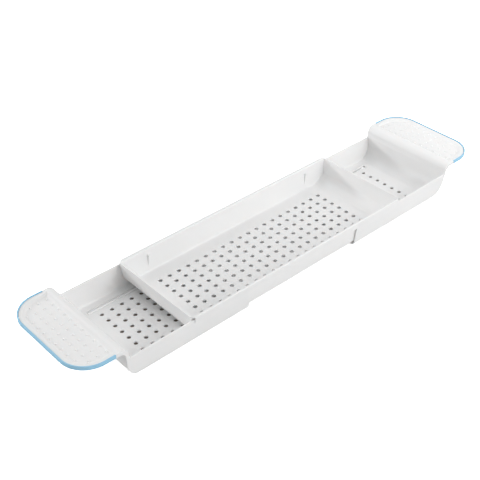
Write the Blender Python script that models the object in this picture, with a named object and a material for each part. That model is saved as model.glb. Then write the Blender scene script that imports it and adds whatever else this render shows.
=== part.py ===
"""Extending bath caddy: a perforated tray between two sliding arms with gripped handles.

Every length is in metres. X runs along the caddy, Y across it and Z up. Z = 0 is the
underside of the arms, and the overall box is centred on X = 0 and Y = 0. The tray hangs
inside two open-ended troughs, the arms. Each arm ends in a neck and a flat handle that
lies on the rim of a bath, and a soft strip wraps the handle's edge.
"""
import math

import bmesh
import bpy
from mathutils import Matrix

# Arm trough
ARM_HALF_WIDTH = 0.0731
ARM_HEIGHT = 0.0375
ARM_LENGTH = 0.1915
ARM_FLOOR = 0.0024
ARM_WALL = 0.0021
ARM_FILLET = 0.0060
DRAFT = 0.0925
END_CORNER_RADIUS = 0.0200

# Neck between trough and handle
NECK_RISE = 0.0180
NECK_RADIUS = 0.0120
NECK_LEAN = 0.0016
SHEET = 0.0022
LIP_REACH = 0.0040
LIP_CORNER_RADIUS = 0.0260
LIP_DEPTH = 0.0062
HOLLOW_FOOT_ANGLE = 32.0

# Handle
HANDLE_REACH = 0.0720
HANDLE_CORNER_RADIUS = 0.0375
HANDLE_DROP = 0.0010
HANDLE_START = 0.0200
HANDLE_LIP = 0.0020
BORDER_WIDTH = 0.0051
FIELD_DEPTH = 0.0026
FIELD_SLOPE = 0.0020

# Grip strip round the handle
GRIP_THICKNESS = 0.0020
GRIP_GROOVE = 0.0005
FIT_GAP = 0.0003

# Raised dots on the handle
BUMP_PITCH_X = 0.0121
BUMP_PITCH_Y = 0.0124
BUMP_DIAMETER = 0.0034
BUMP_TOP_DIAMETER = 0.0017
BUMP_HEIGHT = 0.0008
BUMP_START = 0.0228
BUMP_SIDES = 6

# Drain holes, shared by the tray and the arms
HOLE_PITCH_X = 0.0160
HOLE_PITCH_Y = 0.0145
HOLE_DIAMETER = 0.0056
HOLE_SETBACK = 0.0412
HOLE_SIDES = 8

# Guide slots in the arm floors, the rails beside them and the tray's pegs
SLOT_INSET = 0.0181
SLOT_WIDTH = 0.0026
SLOT_MOUTH_DIAMETER = 0.0056
SLOT_SETBACK = 0.0282
SLOT_MOUTH_MARGIN = 0.0100
RAIL_OFFSET = 0.0030
RAIL_WIDTH = 0.0020
RAIL_HEIGHT = 0.0014
PEG_SETBACK = 0.0325
PEG_LENGTH = 0.0080
PEG_SIDE_GAP = 0.0003
PEG_TIP_HEIGHT = 0.0006

# Tray
TRAY_HALF_LENGTH = 0.1955
TRAY_FLOOR = 0.0022
TRAY_WALL = 0.0021
TRAY_END_WALL = 0.0025
TRAY_FILLET = 0.0040
TRAY_CORNER_CUT = 0.0015
END_SWEEP_LENGTH = 0.0280
END_SWEEP_HEIGHT = 0.0160
END_LEAN = 0.0035
NEST_GAP = 0.0009
FLANGE_THICKNESS = 0.0020
FLANGE_GAP = 0.0026
SKIRT_THICKNESS = 0.0011
SKIRT_GAP = 0.0003
SKIRT_DEPTH = 0.0090
WEDGE_SETBACK = 0.0455
WEDGE_DEPTH = 0.0030
WEDGE_THICKNESS = 0.0016
WEDGE_TOP_MARGIN = 0.0085

# How far each arm is drawn out: from the tray's middle to the arm's inner end
LEFT_ARM_INNER_END = 0.0980
RIGHT_ARM_INNER_END = 0.1055

# Shapes that reach past a face to cut it cleanly, or sink in to join it
OVERCUT = 0.0050
SINK = 0.0010
ARC_STEPS = 8
DECIMALS = 7

# Places worked out from the sizes above
RIDGE_TOP = ARM_HEIGHT + NECK_RISE
SLOT_Y = ARM_HALF_WIDTH - SLOT_INSET
NECK_CENTRE = (ARM_LENGTH + NECK_LEAN + NECK_RADIUS, RIDGE_TOP - NECK_RADIUS)
NECK_END = ARM_LENGTH + HANDLE_START - FIT_GAP
HANDLE_END = ARM_LENGTH + HANDLE_REACH
HANDLE_HALF_WIDTH = ARM_HALF_WIDTH + DRAFT * RIDGE_TOP
HANDLE_TOP = RIDGE_TOP - HANDLE_DROP
HANDLE_BOTTOM = RIDGE_TOP - LIP_DEPTH
FIELD_TOP = HANDLE_TOP - FIELD_DEPTH
CORE_INSET = GRIP_THICKNESS + FIT_GAP
CORE_END = HANDLE_END - CORE_INSET
CORE_HALF_WIDTH = HANDLE_HALF_WIDTH - CORE_INSET
CORE_RADIUS = HANDLE_CORNER_RADIUS - CORE_INSET
TRAY_BOTTOM = ARM_FLOOR + RAIL_HEIGHT + FIT_GAP
TRAY_TOP = ARM_HEIGHT + FLANGE_GAP + FLANGE_THICKNESS
FLOOR_TOP = TRAY_BOTTOM + TRAY_FLOOR
TRAY_BASE = ARM_HALF_WIDTH - ARM_WALL - NEST_GAP
PEG_X = TRAY_HALF_LENGTH - PEG_SETBACK
WEDGE_X = TRAY_HALF_LENGTH - WEDGE_SETBACK
SKIRT_INNER = ARM_HALF_WIDTH + DRAFT * ARM_HEIGHT + SKIRT_GAP
SKIRT_OUTER = SKIRT_INNER + SKIRT_THICKNESS
TRAY_X = (LEFT_ARM_INNER_END - RIGHT_ARM_INNER_END) / 2

# Plastics
WHITE = (0.86, 0.87, 0.87)
WHITE_ROUGHNESS = 0.35
BLUE = (0.22, 0.55, 0.78)
BLUE_ROUGHNESS = 0.50


def clear_scene():
    for old in list(bpy.data.objects):
        bpy.data.objects.remove(old, do_unlink=True)


def new_collection(name):
    collection = bpy.data.collections.new(name)
    bpy.context.scene.collection.children.link(collection)
    return collection


def plastic(name, colour, roughness):
    made = bpy.data.materials.new(name)
    made.use_nodes = True
    shader = made.node_tree.nodes["Principled BSDF"]
    shader.inputs["Base Color"].default_value = (*colour, 1.0)
    shader.inputs["Roughness"].default_value = roughness
    shader.inputs["Metallic"].default_value = 0.0
    return made


# Outlines

def arc(centre, radii, start, end, steps=ARC_STEPS):
    """Points along part of an ellipse, from one angle to another in degrees."""
    points = []
    for step in range(steps + 1):
        angle = math.radians(start + (end - start) * step / steps)
        first = centre[0] + radii[0] * math.cos(angle)
        second = centre[1] + radii[1] * math.sin(angle)
        points.append((first, second))
    return points


def mirrored(points):
    """A closed outline from its right half, listed from the bottom to the top."""
    return points + [(-across, up) for across, up in reversed(points)]


def draft_half_width(base, height):
    return base + DRAFT * height


def tub_corner(base, bottom, fillet):
    """The rounded bottom edge of a leaning wall, from the floor up to the wall."""
    lean = math.degrees(math.atan(DRAFT))
    up = bottom + fillet
    across = draft_half_width(base, up) - fillet * math.hypot(1.0, DRAFT)
    return arc((across, up), (fillet, fillet), -90, -lean, ARC_STEPS // 2)


def tub_section(base, bottom, top, fillet):
    """A drafted tub seen along X, rounded at its bottom edges."""
    wall_top = (draft_half_width(base, top), top)
    return mirrored(tub_corner(base, bottom, fillet) + [wall_top])


def rounded_end(near, far, half_width, radius, near_half_width):
    """A plan outline that is square at its near end and rounded at its far end."""
    centre = (far - radius, half_width - radius)
    side = arc(centre, (radius, radius), 90, 0)
    upper = [(near, near_half_width), (NECK_END, near_half_width), (NECK_END, half_width)]
    upper += side
    return upper + [(along, -across) for along, across in reversed(upper)]


# Solids

def prism(name, outline, plane, low, high, tools):
    """A flat outline, filled and drawn out across its plane from low to high.

    Points are rounded, so that faces that are meant to be flush are exactly flush.
    """
    curve = bpy.data.curves.new(name, "CURVE")
    curve.dimensions = "2D"
    curve.fill_mode = "BOTH"
    curve.extrude = (high - low) / 2
    spline = curve.splines.new("POLY")
    spline.points.add(len(outline) - 1)
    for point, (first, second) in zip(spline.points, outline):
        point.co = (round(first, DECIMALS), round(second, DECIMALS), 0.0, 1.0)
    spline.use_cyclic_u = True
    drawn = bpy.data.objects.new(name, curve)
    tools.objects.link(drawn)
    graph = bpy.context.evaluated_depsgraph_get()
    mesh = bpy.data.meshes.new_from_object(drawn.evaluated_get(graph))
    bpy.data.objects.remove(drawn)

    middle = (low + high) / 2
    stand = {
        "XY": Matrix(((1, 0, 0, 0), (0, 1, 0, 0), (0, 0, 1, middle), (0, 0, 0, 1))),
        "XZ": Matrix(((1, 0, 0, 0), (0, 0, -1, middle), (0, 1, 0, 0), (0, 0, 0, 1))),
        "YZ": Matrix(((0, 0, 1, middle), (1, 0, 0, 0), (0, 1, 0, 0), (0, 0, 0, 1))),
    }[plane]
    shape = bmesh.new()
    shape.from_mesh(mesh)
    bmesh.ops.transform(shape, matrix=stand, verts=shape.verts)
    bmesh.ops.remove_doubles(shape, verts=shape.verts, dist=1e-6)
    bmesh.ops.dissolve_limit(shape, angle_limit=0.001, verts=shape.verts, edges=shape.edges)
    bmesh.ops.recalc_face_normals(shape, faces=shape.faces)
    shape.to_mesh(mesh)
    shape.free()
    return as_tool(bpy.data.objects.new(name, mesh), tools)


def as_tool(shape, tools):
    """Keeps a cutting or joining shape out of sight."""
    if shape.name not in tools.objects:
        tools.objects.link(shape)
    shape.hide_render = True
    shape.display_type = "WIRE"
    return shape


def combine(target, tool, operation, solver="EXACT"):
    """Cuts or joins a tool, which from then on moves with the shape that it works on."""
    tool.parent = target
    step = target.modifiers.new(tool.name, "BOOLEAN")
    step.operation = operation
    step.solver = solver
    step.object = tool
    return target


def crossing(name, first, second, tools):
    """The space that two prisms share, kept as one tool."""
    combine(first, second, "INTERSECT")
    first.name = name
    return as_tool(first, tools)


def posts(name, places, low, high, radius_low, radius_high, sides, tools):
    """Upright round posts at the places given, all in one tool."""
    shape = bmesh.new()
    for along, across in places:
        stand = Matrix.Translation((along, across, (low + high) / 2))
        bmesh.ops.create_cone(shape, cap_ends=True, segments=sides, radius1=radius_low,
                              radius2=radius_high, depth=high - low, matrix=stand)
    mesh = bpy.data.meshes.new(name)
    shape.to_mesh(mesh)
    shape.free()
    return as_tool(bpy.data.objects.new(name, mesh), tools)


def boxes(name, spans, tools):
    """Upright boxes, each given as its low and high corner, all in one tool."""
    shape = bmesh.new()
    for low, high in spans:
        size = [top - bottom for bottom, top in zip(low, high)]
        middle = [(top + bottom) / 2 for bottom, top in zip(low, high)]
        place = Matrix.Translation(middle) @ Matrix.Diagonal((*size, 1.0))
        bmesh.ops.create_cube(shape, size=1.0, matrix=place)
    mesh = bpy.data.meshes.new(name)
    shape.to_mesh(mesh)
    shape.free()
    return as_tool(bpy.data.objects.new(name, mesh), tools)


# Patterns

def hole_rows():
    """Places across the floor, as many as fit between the two guide slots."""
    reach = SLOT_Y - SLOT_WIDTH / 2 - HOLE_DIAMETER
    count = int(reach / HOLE_PITCH_Y)
    return [row * HOLE_PITCH_Y for row in range(-count, count + 1)]


def tray_holes():
    flat = TRAY_HALF_LENGTH - END_LEAN - END_SWEEP_LENGTH - HOLE_DIAMETER
    count = int(flat / HOLE_PITCH_X + 0.5)
    columns = [(column + 0.5) * HOLE_PITCH_X for column in range(-count, count)]
    return [(along, across) for along in columns for across in hole_rows()]


def arm_holes():
    first = ARM_LENGTH - HOLE_SETBACK
    count = int((first - SLOT_MOUTH_MARGIN) / HOLE_PITCH_X) + 1
    columns = [first - column * HOLE_PITCH_X for column in range(count)]
    return [(along, across) for along in columns for across in hole_rows()]


def bump_places():
    """Dots on the handle's field that lie inside its rounded corners."""
    end = CORE_END - BORDER_WIDTH
    half_width = CORE_HALF_WIDTH - BORDER_WIDTH
    radius = CORE_RADIUS - BORDER_WIDTH
    margin = FIELD_SLOPE / 2 + BUMP_DIAMETER / 2
    rows = int((half_width - BUMP_DIAMETER) / BUMP_PITCH_Y)
    first = ARM_LENGTH + BUMP_START
    columns = int((end - margin - first) / BUMP_PITCH_X) + 1
    places = []
    for column in range(columns):
        for row in range(-rows, rows + 1):
            along = first + column * BUMP_PITCH_X
            across = row * BUMP_PITCH_Y
            past_x = max(0.0, along - (end - radius))
            past_y = max(0.0, abs(across) - (half_width - radius))
            if math.hypot(past_x, past_y) < radius - margin / 2:
                places.append((along, across))
    return places


# Arm

def arm_side_outline():
    """The arm's outer shape seen from its side, with trough and neck filled in."""
    lip_side = ARM_LENGTH + LIP_REACH
    corner = (lip_side - LIP_CORNER_RADIUS, LIP_CORNER_RADIUS)
    underside = [(0.0, 0.0)] + arc(corner, (LIP_CORNER_RADIUS, LIP_CORNER_RADIUS), -90, 0)
    lip_radii = (NECK_CENTRE[0] - lip_side - NECK_LEAN, NECK_RADIUS - LIP_DEPTH / 2)
    lip_centre = (NECK_CENTRE[0], RIDGE_TOP - LIP_DEPTH - lip_radii[1])
    underside += arc(lip_centre, lip_radii, 180, 90)
    topside = [(CORE_END, HANDLE_BOTTOM), (CORE_END, HANDLE_TOP), (NECK_END, HANDLE_TOP)]
    topside += arc(NECK_CENTRE, (NECK_RADIUS, NECK_RADIUS), 90, 180)
    topside += [(ARM_LENGTH, ARM_HEIGHT), (0.0, ARM_HEIGHT)]
    return underside + topside


def arm_inside_outline():
    """The open trough seen from the side, swept up into the neck at its far end."""
    corner = (ARM_LENGTH - END_CORNER_RADIUS, ARM_FLOOR + END_CORNER_RADIUS)
    sweep = arc(corner, (END_CORNER_RADIUS, END_CORNER_RADIUS), -90, 0)
    above = RIDGE_TOP + OVERCUT
    upper = [(ARM_LENGTH, ARM_HEIGHT), (ARM_LENGTH - SINK, above), (-OVERCUT, above)]
    return [(-OVERCUT, ARM_FLOOR)] + sweep + upper


def neck_hollow_outline():
    """The space under neck and handle seen from the side, between their lips."""
    outer_face = ARM_LENGTH + SHEET
    radius = END_CORNER_RADIUS + SHEET
    centre = (outer_face - radius, radius)
    sweep = arc(centre, (radius, radius), -HOLLOW_FOOT_ANGLE, 0, ARC_STEPS // 2)
    bend = NECK_RADIUS - SHEET
    ceiling = FIELD_TOP - SHEET
    roof = arc(NECK_CENTRE, (bend, bend), 180, 90)
    inner_end = CORE_END - HANDLE_LIP
    low = sweep[0][1] - SINK
    return sweep + roof + [(NECK_END - SHEET, ceiling), (inner_end, ceiling),
                           (inner_end, low), (ARM_LENGTH + LIP_REACH, low)]


def field_outline():
    """The sunk field on top of the handle seen from the side."""
    start = NECK_END - FIELD_SLOPE
    end = CORE_END - BORDER_WIDTH
    above = RIDGE_TOP + OVERCUT
    rise = above - FIELD_TOP
    run = rise * FIELD_SLOPE / FIELD_DEPTH
    return [(start - run, above), (start, FIELD_TOP), (end - FIELD_SLOPE, FIELD_TOP),
            (end - FIELD_SLOPE + run, above)]


def drafted_inside(name, floor, fillet, tools):
    """The space between the arm's two long walls, drawn out along its length."""
    outline = tub_section(ARM_HALF_WIDTH - ARM_WALL, floor, RIDGE_TOP + 2 * OVERCUT, fillet)
    return prism(name, outline, "YZ", -2 * OVERCUT, HANDLE_END, tools)


def build_arm(name, parts, tools, finish):
    """One arm in its own frame: X = 0 at the trough's open mouth, +X towards the handle."""
    wide = HANDLE_HALF_WIDTH + OVERCUT
    far = HANDLE_END + OVERCUT
    above = RIDGE_TOP + OVERCUT
    arm = prism(name, arm_side_outline(), "XZ", -wide, wide, tools)
    section = tub_section(ARM_HALF_WIDTH, 0.0, above, ARM_FILLET)
    combine(arm, prism(name + "_section", section, "YZ", -OVERCUT, far, tools), "INTERSECT")
    plan = rounded_end(-OVERCUT, CORE_END, CORE_HALF_WIDTH, CORE_RADIUS, wide)
    combine(arm, prism(name + "_plan", plan, "XY", -OVERCUT, above, tools), "INTERSECT")

    trough = prism(name + "_trough_side", arm_inside_outline(), "XZ", -wide, wide, tools)
    inside = drafted_inside(name + "_inside", ARM_FLOOR, ARM_FILLET - ARM_WALL, tools)
    combine(arm, crossing(name + "_trough", trough, inside, tools), "DIFFERENCE")
    cut_neck_hollow(arm, name, tools)
    cut_field(arm, name, tools)
    add_rails(arm, name, tools)
    cut_slots(arm, name, tools)
    radius = HOLE_DIAMETER / 2
    holes = posts(name + "_holes", arm_holes(), -OVERCUT, OVERCUT, radius, radius,
                  HOLE_SIDES, tools)
    combine(arm, holes, "DIFFERENCE")
    bumps = posts(name + "_bumps", bump_places(), FIELD_TOP - SINK, FIELD_TOP + BUMP_HEIGHT,
                  BUMP_DIAMETER / 2, BUMP_TOP_DIAMETER / 2, BUMP_SIDES, tools)
    combine(arm, bumps, "UNION")
    return finish_part(arm, name, parts, tools, finish)


def cut_neck_hollow(arm, name, tools):
    """Leaves neck and handle as one thin sheet between two lips, open underneath."""
    wide = HANDLE_HALF_WIDTH + OVERCUT
    hollow = prism(name + "_hollow_side", neck_hollow_outline(), "XZ", -wide, wide, tools)
    combine(hollow, drafted_inside(name + "_between_lips", -OVERCUT, ARM_FILLET, tools), "INTERSECT")
    plan = rounded_end(-OVERCUT, CORE_END - HANDLE_LIP, CORE_HALF_WIDTH - HANDLE_LIP,
                       CORE_RADIUS - HANDLE_LIP, wide)
    lip_plan = prism(name + "_lip_plan", plan, "XY", -2 * OVERCUT, RIDGE_TOP + 2 * OVERCUT, tools)
    combine(arm, crossing(name + "_hollow", hollow, lip_plan, tools), "DIFFERENCE")


def cut_field(arm, name, tools):
    """Sinks the handle's top inside its border, with a sloped edge all round."""
    half = CORE_HALF_WIDTH - BORDER_WIDTH
    foot = half - FIELD_SLOPE / 2
    side = prism(name + "_field_side", field_outline(), "XZ", -half, half, tools)
    outline = rounded_end(0.0, CORE_END - BORDER_WIDTH, foot, CORE_RADIUS - BORDER_WIDTH, foot)
    plan = prism(name + "_field_plan", outline, "XY", 0.0, RIDGE_TOP + 2 * OVERCUT, tools)
    combine(arm, crossing(name + "_field", side, plan, tools), "DIFFERENCE")


def slot_span():
    """Where the guide slots begin and end along the arm."""
    return SLOT_MOUTH_MARGIN, ARM_LENGTH - SLOT_SETBACK


def add_rails(arm, name, tools):
    """Low rails beside the slots, which carry the tray's floor."""
    start, end = slot_span()
    low, high = ARM_FLOOR - SINK, ARM_FLOOR + RAIL_HEIGHT
    near = SLOT_Y + RAIL_OFFSET - RAIL_WIDTH / 2
    far = near + RAIL_WIDTH
    spans = [((start, near, low), (end, far, high)),
             ((start, -far, low), (end, -near, high))]
    combine(arm, boxes(name + "_rails", spans, tools), "UNION")


def cut_slots(arm, name, tools):
    """Straight slots, each with a round opening at its handle end where a peg goes in."""
    start, end = slot_span()
    half = SLOT_WIDTH / 2
    spans = []
    for side in (-1, 1):
        middle = side * SLOT_Y
        spans.append(((start, middle - half, -OVERCUT), (end, middle + half, OVERCUT)))
    combine(arm, boxes(name + "_slots", spans, tools), "DIFFERENCE")
    places = [(end, side * SLOT_Y) for side in (-1, 1)]
    radius = SLOT_MOUTH_DIAMETER / 2
    mouths = posts(name + "_slot_mouths", places, -OVERCUT, OVERCUT, radius, radius,
                   HOLE_SIDES, tools)
    combine(arm, mouths, "DIFFERENCE")


# Grip strip

def grip_path():
    """The middle line of the strip, round the handle from one neck to the other."""
    inset = GRIP_THICKNESS / 2
    half_width = HANDLE_HALF_WIDTH - inset
    radius = HANDLE_CORNER_RADIUS - inset
    start = ARM_LENGTH + HANDLE_START
    centre = (HANDLE_END - inset - radius, half_width - radius)
    upper = [(start, half_width)] + arc(centre, (radius, radius), 90, 0, 2 * ARC_STEPS)
    return upper + [(along, -across) for along, across in reversed(upper)]


def grip_section():
    """The strip's cut end: soft outer edges with a shallow groove between them."""
    half_depth = (HANDLE_TOP - HANDLE_BOTTOM) / 2
    half_width = GRIP_THICKNESS / 2
    soft = GRIP_THICKNESS / 4
    upper = [(-half_width, half_depth), (half_width - soft, half_depth)]
    upper += [(half_width, half_depth - soft), (half_width, GRIP_GROOVE)]
    upper += [(half_width - GRIP_GROOVE, 0.0)]
    return upper + [(across, -up) for across, up in reversed(upper[:-1])]


def build_grip(name, parts, tools, finish):
    """A strip of one section drawn along the handle's edge, with closed ends."""
    profile = bpy.data.curves.new(name + "_section", "CURVE")
    profile.dimensions = "2D"
    fill_spline(profile, grip_section(), closed=True)
    profile_object = as_tool(bpy.data.objects.new(name + "_section", profile), tools)

    path = bpy.data.curves.new(name, "CURVE")
    path.dimensions = "3D"
    path.twist_mode = "Z_UP"
    path.bevel_mode = "OBJECT"
    path.bevel_object = profile_object
    path.use_fill_caps = True
    fill_spline(path, grip_path(), closed=False)
    drawn = bpy.data.objects.new(name, path)
    tools.objects.link(drawn)
    graph = bpy.context.evaluated_depsgraph_get()
    mesh = bpy.data.meshes.new_from_object(drawn.evaluated_get(graph))
    bpy.data.objects.remove(drawn)
    shape = bmesh.new()
    shape.from_mesh(mesh)
    bmesh.ops.remove_doubles(shape, verts=shape.verts, dist=1e-6)
    bmesh.ops.translate(shape, verts=shape.verts, vec=(0.0, 0.0, (HANDLE_TOP + HANDLE_BOTTOM) / 2))
    bmesh.ops.recalc_face_normals(shape, faces=shape.faces)
    shape.to_mesh(mesh)
    shape.free()
    return finish_part(bpy.data.objects.new(name, mesh), name, parts, tools, finish)


def fill_spline(curve, points, closed):
    spline = curve.splines.new("POLY")
    spline.points.add(len(points) - 1)
    for point, (first, second) in zip(spline.points, points):
        point.co = (first, second, 0.0, 1.0)
    spline.use_cyclic_u = closed


# Tray

def tray_section_outline():
    """The tray seen along X, filled in, with the flange and skirt over the arm walls."""
    corner = tub_corner(TRAY_BASE, TRAY_BOTTOM, TRAY_FILLET)
    under = TRAY_TOP - FLANGE_THICKNESS
    skirt_low = TRAY_TOP - SKIRT_DEPTH
    flange = [(draft_half_width(TRAY_BASE, under), under), (SKIRT_INNER, under),
              (SKIRT_INNER, skirt_low), (SKIRT_OUTER, skirt_low),
              (SKIRT_OUTER, TRAY_TOP + OVERCUT)]
    return mirrored(corner + flange)


def tray_side_outline(inset, bottom, top):
    """The tray's long outline seen from the side, drawn in by a wall's thickness."""
    end = TRAY_HALF_LENGTH - inset
    foot = end - END_LEAN
    centre = (foot - END_SWEEP_LENGTH, bottom + END_SWEEP_HEIGHT)
    sweep = arc(centre, (END_SWEEP_LENGTH, END_SWEEP_HEIGHT), -90, 0)
    lean = END_LEAN / (TRAY_TOP - TRAY_BOTTOM - END_SWEEP_HEIGHT)
    rim = foot + lean * (top - bottom - END_SWEEP_HEIGHT)
    return mirrored(sweep + [(rim, top)])


def tray_plan_outline():
    """The tray from above: cut corners, and the flange's shorter, wider length."""
    reach = draft_half_width(TRAY_BASE, TRAY_TOP)
    wide = SKIRT_OUTER + OVERCUT
    flange_end = TRAY_HALF_LENGTH - TRAY_CORNER_CUT
    past_end = (flange_end + OVERCUT, reach - OVERCUT)
    quarter = [past_end, (flange_end, reach), (flange_end, wide)]
    half = quarter + [(-along, across) for along, across in reversed(quarter)]
    return half + [(along, -across) for along, across in reversed(half)]


def build_tray(name, parts, tools, finish):
    """The centre tray in its own frame: X = 0 in the middle of its length."""
    wide = SKIRT_OUTER + OVERCUT
    long = TRAY_HALF_LENGTH + OVERCUT
    above = TRAY_TOP + OVERCUT
    tray = prism(name, tray_side_outline(0.0, TRAY_BOTTOM, TRAY_TOP), "XZ", -wide, wide, tools)
    section = prism(name + "_section", tray_section_outline(), "YZ", -long, long, tools)
    combine(tray, section, "INTERSECT", "MANIFOLD")
    plan = prism(name + "_plan", tray_plan_outline(), "XY", -OVERCUT, above, tools)
    combine(tray, plan, "INTERSECT")

    inside_outline = tray_side_outline(TRAY_END_WALL, FLOOR_TOP, above)
    side = prism(name + "_inside_side", inside_outline, "XZ", -wide, wide, tools)
    section = tub_section(TRAY_BASE - TRAY_WALL, FLOOR_TOP, above + OVERCUT, TRAY_FILLET)
    cross = prism(name + "_inside_section", section, "YZ", -long, long, tools)
    combine(tray, crossing(name + "_inside", side, cross, tools), "DIFFERENCE")

    add_pegs(tray, name, tools)
    add_wedges(tray, name, tools)
    radius = HOLE_DIAMETER / 2
    holes = posts(name + "_holes", tray_holes(), TRAY_BOTTOM - OVERCUT, FLOOR_TOP + OVERCUT,
                  radius, radius, HOLE_SIDES, tools)
    combine(tray, holes, "DIFFERENCE")
    return finish_part(tray, name, parts, tools, finish)


def add_pegs(tray, name, tools):
    """Four pegs under the floor that run in the arms' slots."""
    half = SLOT_WIDTH / 2 - PEG_SIDE_GAP
    spans = []
    for end in (-1, 1):
        for side in (-1, 1):
            low = (end * PEG_X - PEG_LENGTH / 2, side * SLOT_Y - half, PEG_TIP_HEIGHT)
            high = (end * PEG_X + PEG_LENGTH / 2, side * SLOT_Y + half, TRAY_BOTTOM + SINK)
            spans.append((low, high))
    combine(tray, boxes(name + "_pegs", spans, tools), "UNION")


def add_wedges(tray, name, tools):
    """Slim upright wedges on the long walls, deepest near the rim and gone at the floor."""
    high = TRAY_TOP - WEDGE_TOP_MARGIN
    low = FLOOR_TOP + TRAY_FILLET
    wall = TRAY_BASE - TRAY_WALL
    half = WEDGE_THICKNESS / 2
    for end in (-1, 1):
        for side in (-1, 1):
            outline = [(side * draft_half_width(wall + SINK, low), low),
                       (side * (draft_half_width(wall, high) - WEDGE_DEPTH), high),
                       (side * draft_half_width(wall + SINK, high), high)]
            label = f"{name}_wedge_{end}_{side}"
            middle = end * WEDGE_X
            wedge = prism(label, outline, "YZ", middle - half, middle + half, tools)
            combine(tray, wedge, "UNION")


def finish_part(shape, name, parts, tools, finish):
    """Turns a worked shape into a visible part with its own material."""
    if shape.name in tools.objects:
        tools.objects.unlink(shape)
    parts.objects.link(shape)
    shape.name = name
    shape.hide_render = False
    shape.display_type = "TEXTURED"
    shape.data.materials.clear()
    shape.data.materials.append(finish)
    return shape


def place(shape, along, turn):
    shape.location = (along, 0.0, 0.0)
    shape.rotation_euler = (0.0, 0.0, turn)


def main():
    clear_scene()
    parts = new_collection("bath_caddy")
    tools = new_collection("cutters")
    tray_white = plastic("tray_white", WHITE, WHITE_ROUGHNESS)
    tray = build_tray("center_tray", parts, tools, tray_white)
    place(tray, TRAY_X, 0.0)
    sides = (("left", -LEFT_ARM_INNER_END, math.pi), ("right", RIGHT_ARM_INNER_END, 0.0))
    for side, inner_end, turn in sides:
        white = plastic(side + "_arm_white", WHITE, WHITE_ROUGHNESS)
        blue = plastic(side + "_grip_blue", BLUE, BLUE_ROUGHNESS)
        arm = build_arm(side + "_arm", parts, tools, white)
        grip = build_grip(side + "_grip", parts, tools, blue)
        place(arm, TRAY_X + inner_end, turn)
        grip.parent = arm


main()
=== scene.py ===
# %% [markdown]
# # An extending bath caddy
# A white plastic caddy lies across a bath. A perforated tray hangs between two
# perforated arms, and each arm ends in a flat handle with a soft blue strip round its
# edge. Each piece made here is finer than its plain CAD solid, stands in its place and
# rides on the same body, so the arms still slide in and out under the tray.

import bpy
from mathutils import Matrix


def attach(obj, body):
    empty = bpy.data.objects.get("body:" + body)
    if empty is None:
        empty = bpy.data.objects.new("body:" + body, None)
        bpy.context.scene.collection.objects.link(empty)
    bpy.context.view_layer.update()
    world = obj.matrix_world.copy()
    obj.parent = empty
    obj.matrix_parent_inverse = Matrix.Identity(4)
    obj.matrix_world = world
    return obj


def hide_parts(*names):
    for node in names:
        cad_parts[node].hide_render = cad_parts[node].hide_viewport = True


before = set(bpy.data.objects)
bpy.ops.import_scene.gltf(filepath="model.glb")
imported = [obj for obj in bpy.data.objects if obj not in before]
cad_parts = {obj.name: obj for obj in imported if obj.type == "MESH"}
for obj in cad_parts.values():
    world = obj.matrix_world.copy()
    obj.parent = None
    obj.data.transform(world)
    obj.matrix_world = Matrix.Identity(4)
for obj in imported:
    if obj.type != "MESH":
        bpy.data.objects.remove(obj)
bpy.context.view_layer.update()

# %% Modules for the modelling
import math

import bmesh
import bpy
from mathutils import Matrix, Vector

# %% [markdown]
# ## Sizes
# Everything is in metres, in the CAD model's own frame: X along the caddy, Y across it,
# Z up, and Z = 0 under the arms. An arm is drawn along +X from its open end, and turned
# and moved to its place at the end. The walls lean outwards by the same draft everywhere,
# which is what lets a moulding leave its mould and lets the tray nest in the arms.

# %% Sizes of the arms
ARM_HALF_WIDTH = 0.0731
ARM_HEIGHT = 0.0375
ARM_LENGTH = 0.1915
ARM_FLOOR = 0.0024
ARM_WALL = 0.0021
ARM_FILLET = 0.0060
DRAFT = 0.0925
END_CORNER_RADIUS = 0.0200
RIDGE_TOP = 0.0555
NECK_RADIUS = 0.0120
NECK_LEAN = 0.0016
SHEET = 0.0022
LIP_REACH = 0.0040
LIP_CORNER_RADIUS = 0.0260
LIP_ARCH_HEIGHT = 0.0089
HANDLE_START = 0.0200
HANDLE_REACH = 0.0720
HANDLE_CORNER_RADIUS = 0.0375
HANDLE_TOP = 0.0545
HANDLE_BOTTOM = 0.0493
HANDLE_LIP = 0.0020
BORDER_WIDTH = 0.0051
FIELD_TOP = 0.0519
FIELD_SLOPE = 0.0060
GRIP_THICKNESS = 0.0020
FIT_GAP = 0.0003
HANDLE_HALF_WIDTH = ARM_HALF_WIDTH + DRAFT * RIDGE_TOP
HANDLE_END = ARM_LENGTH + HANDLE_REACH
CORE_INSET = GRIP_THICKNESS + FIT_GAP
CORE_END = HANDLE_END - CORE_INSET
NECK_END = ARM_LENGTH + HANDLE_START - FIT_GAP
NECK_CENTRE = (ARM_LENGTH + NECK_LEAN + NECK_RADIUS, RIDGE_TOP - NECK_RADIUS)
LEFT_ARM_X = -0.10175
RIGHT_ARM_X = 0.10175
print("handle half width:", round(HANDLE_HALF_WIDTH, 5))

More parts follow.
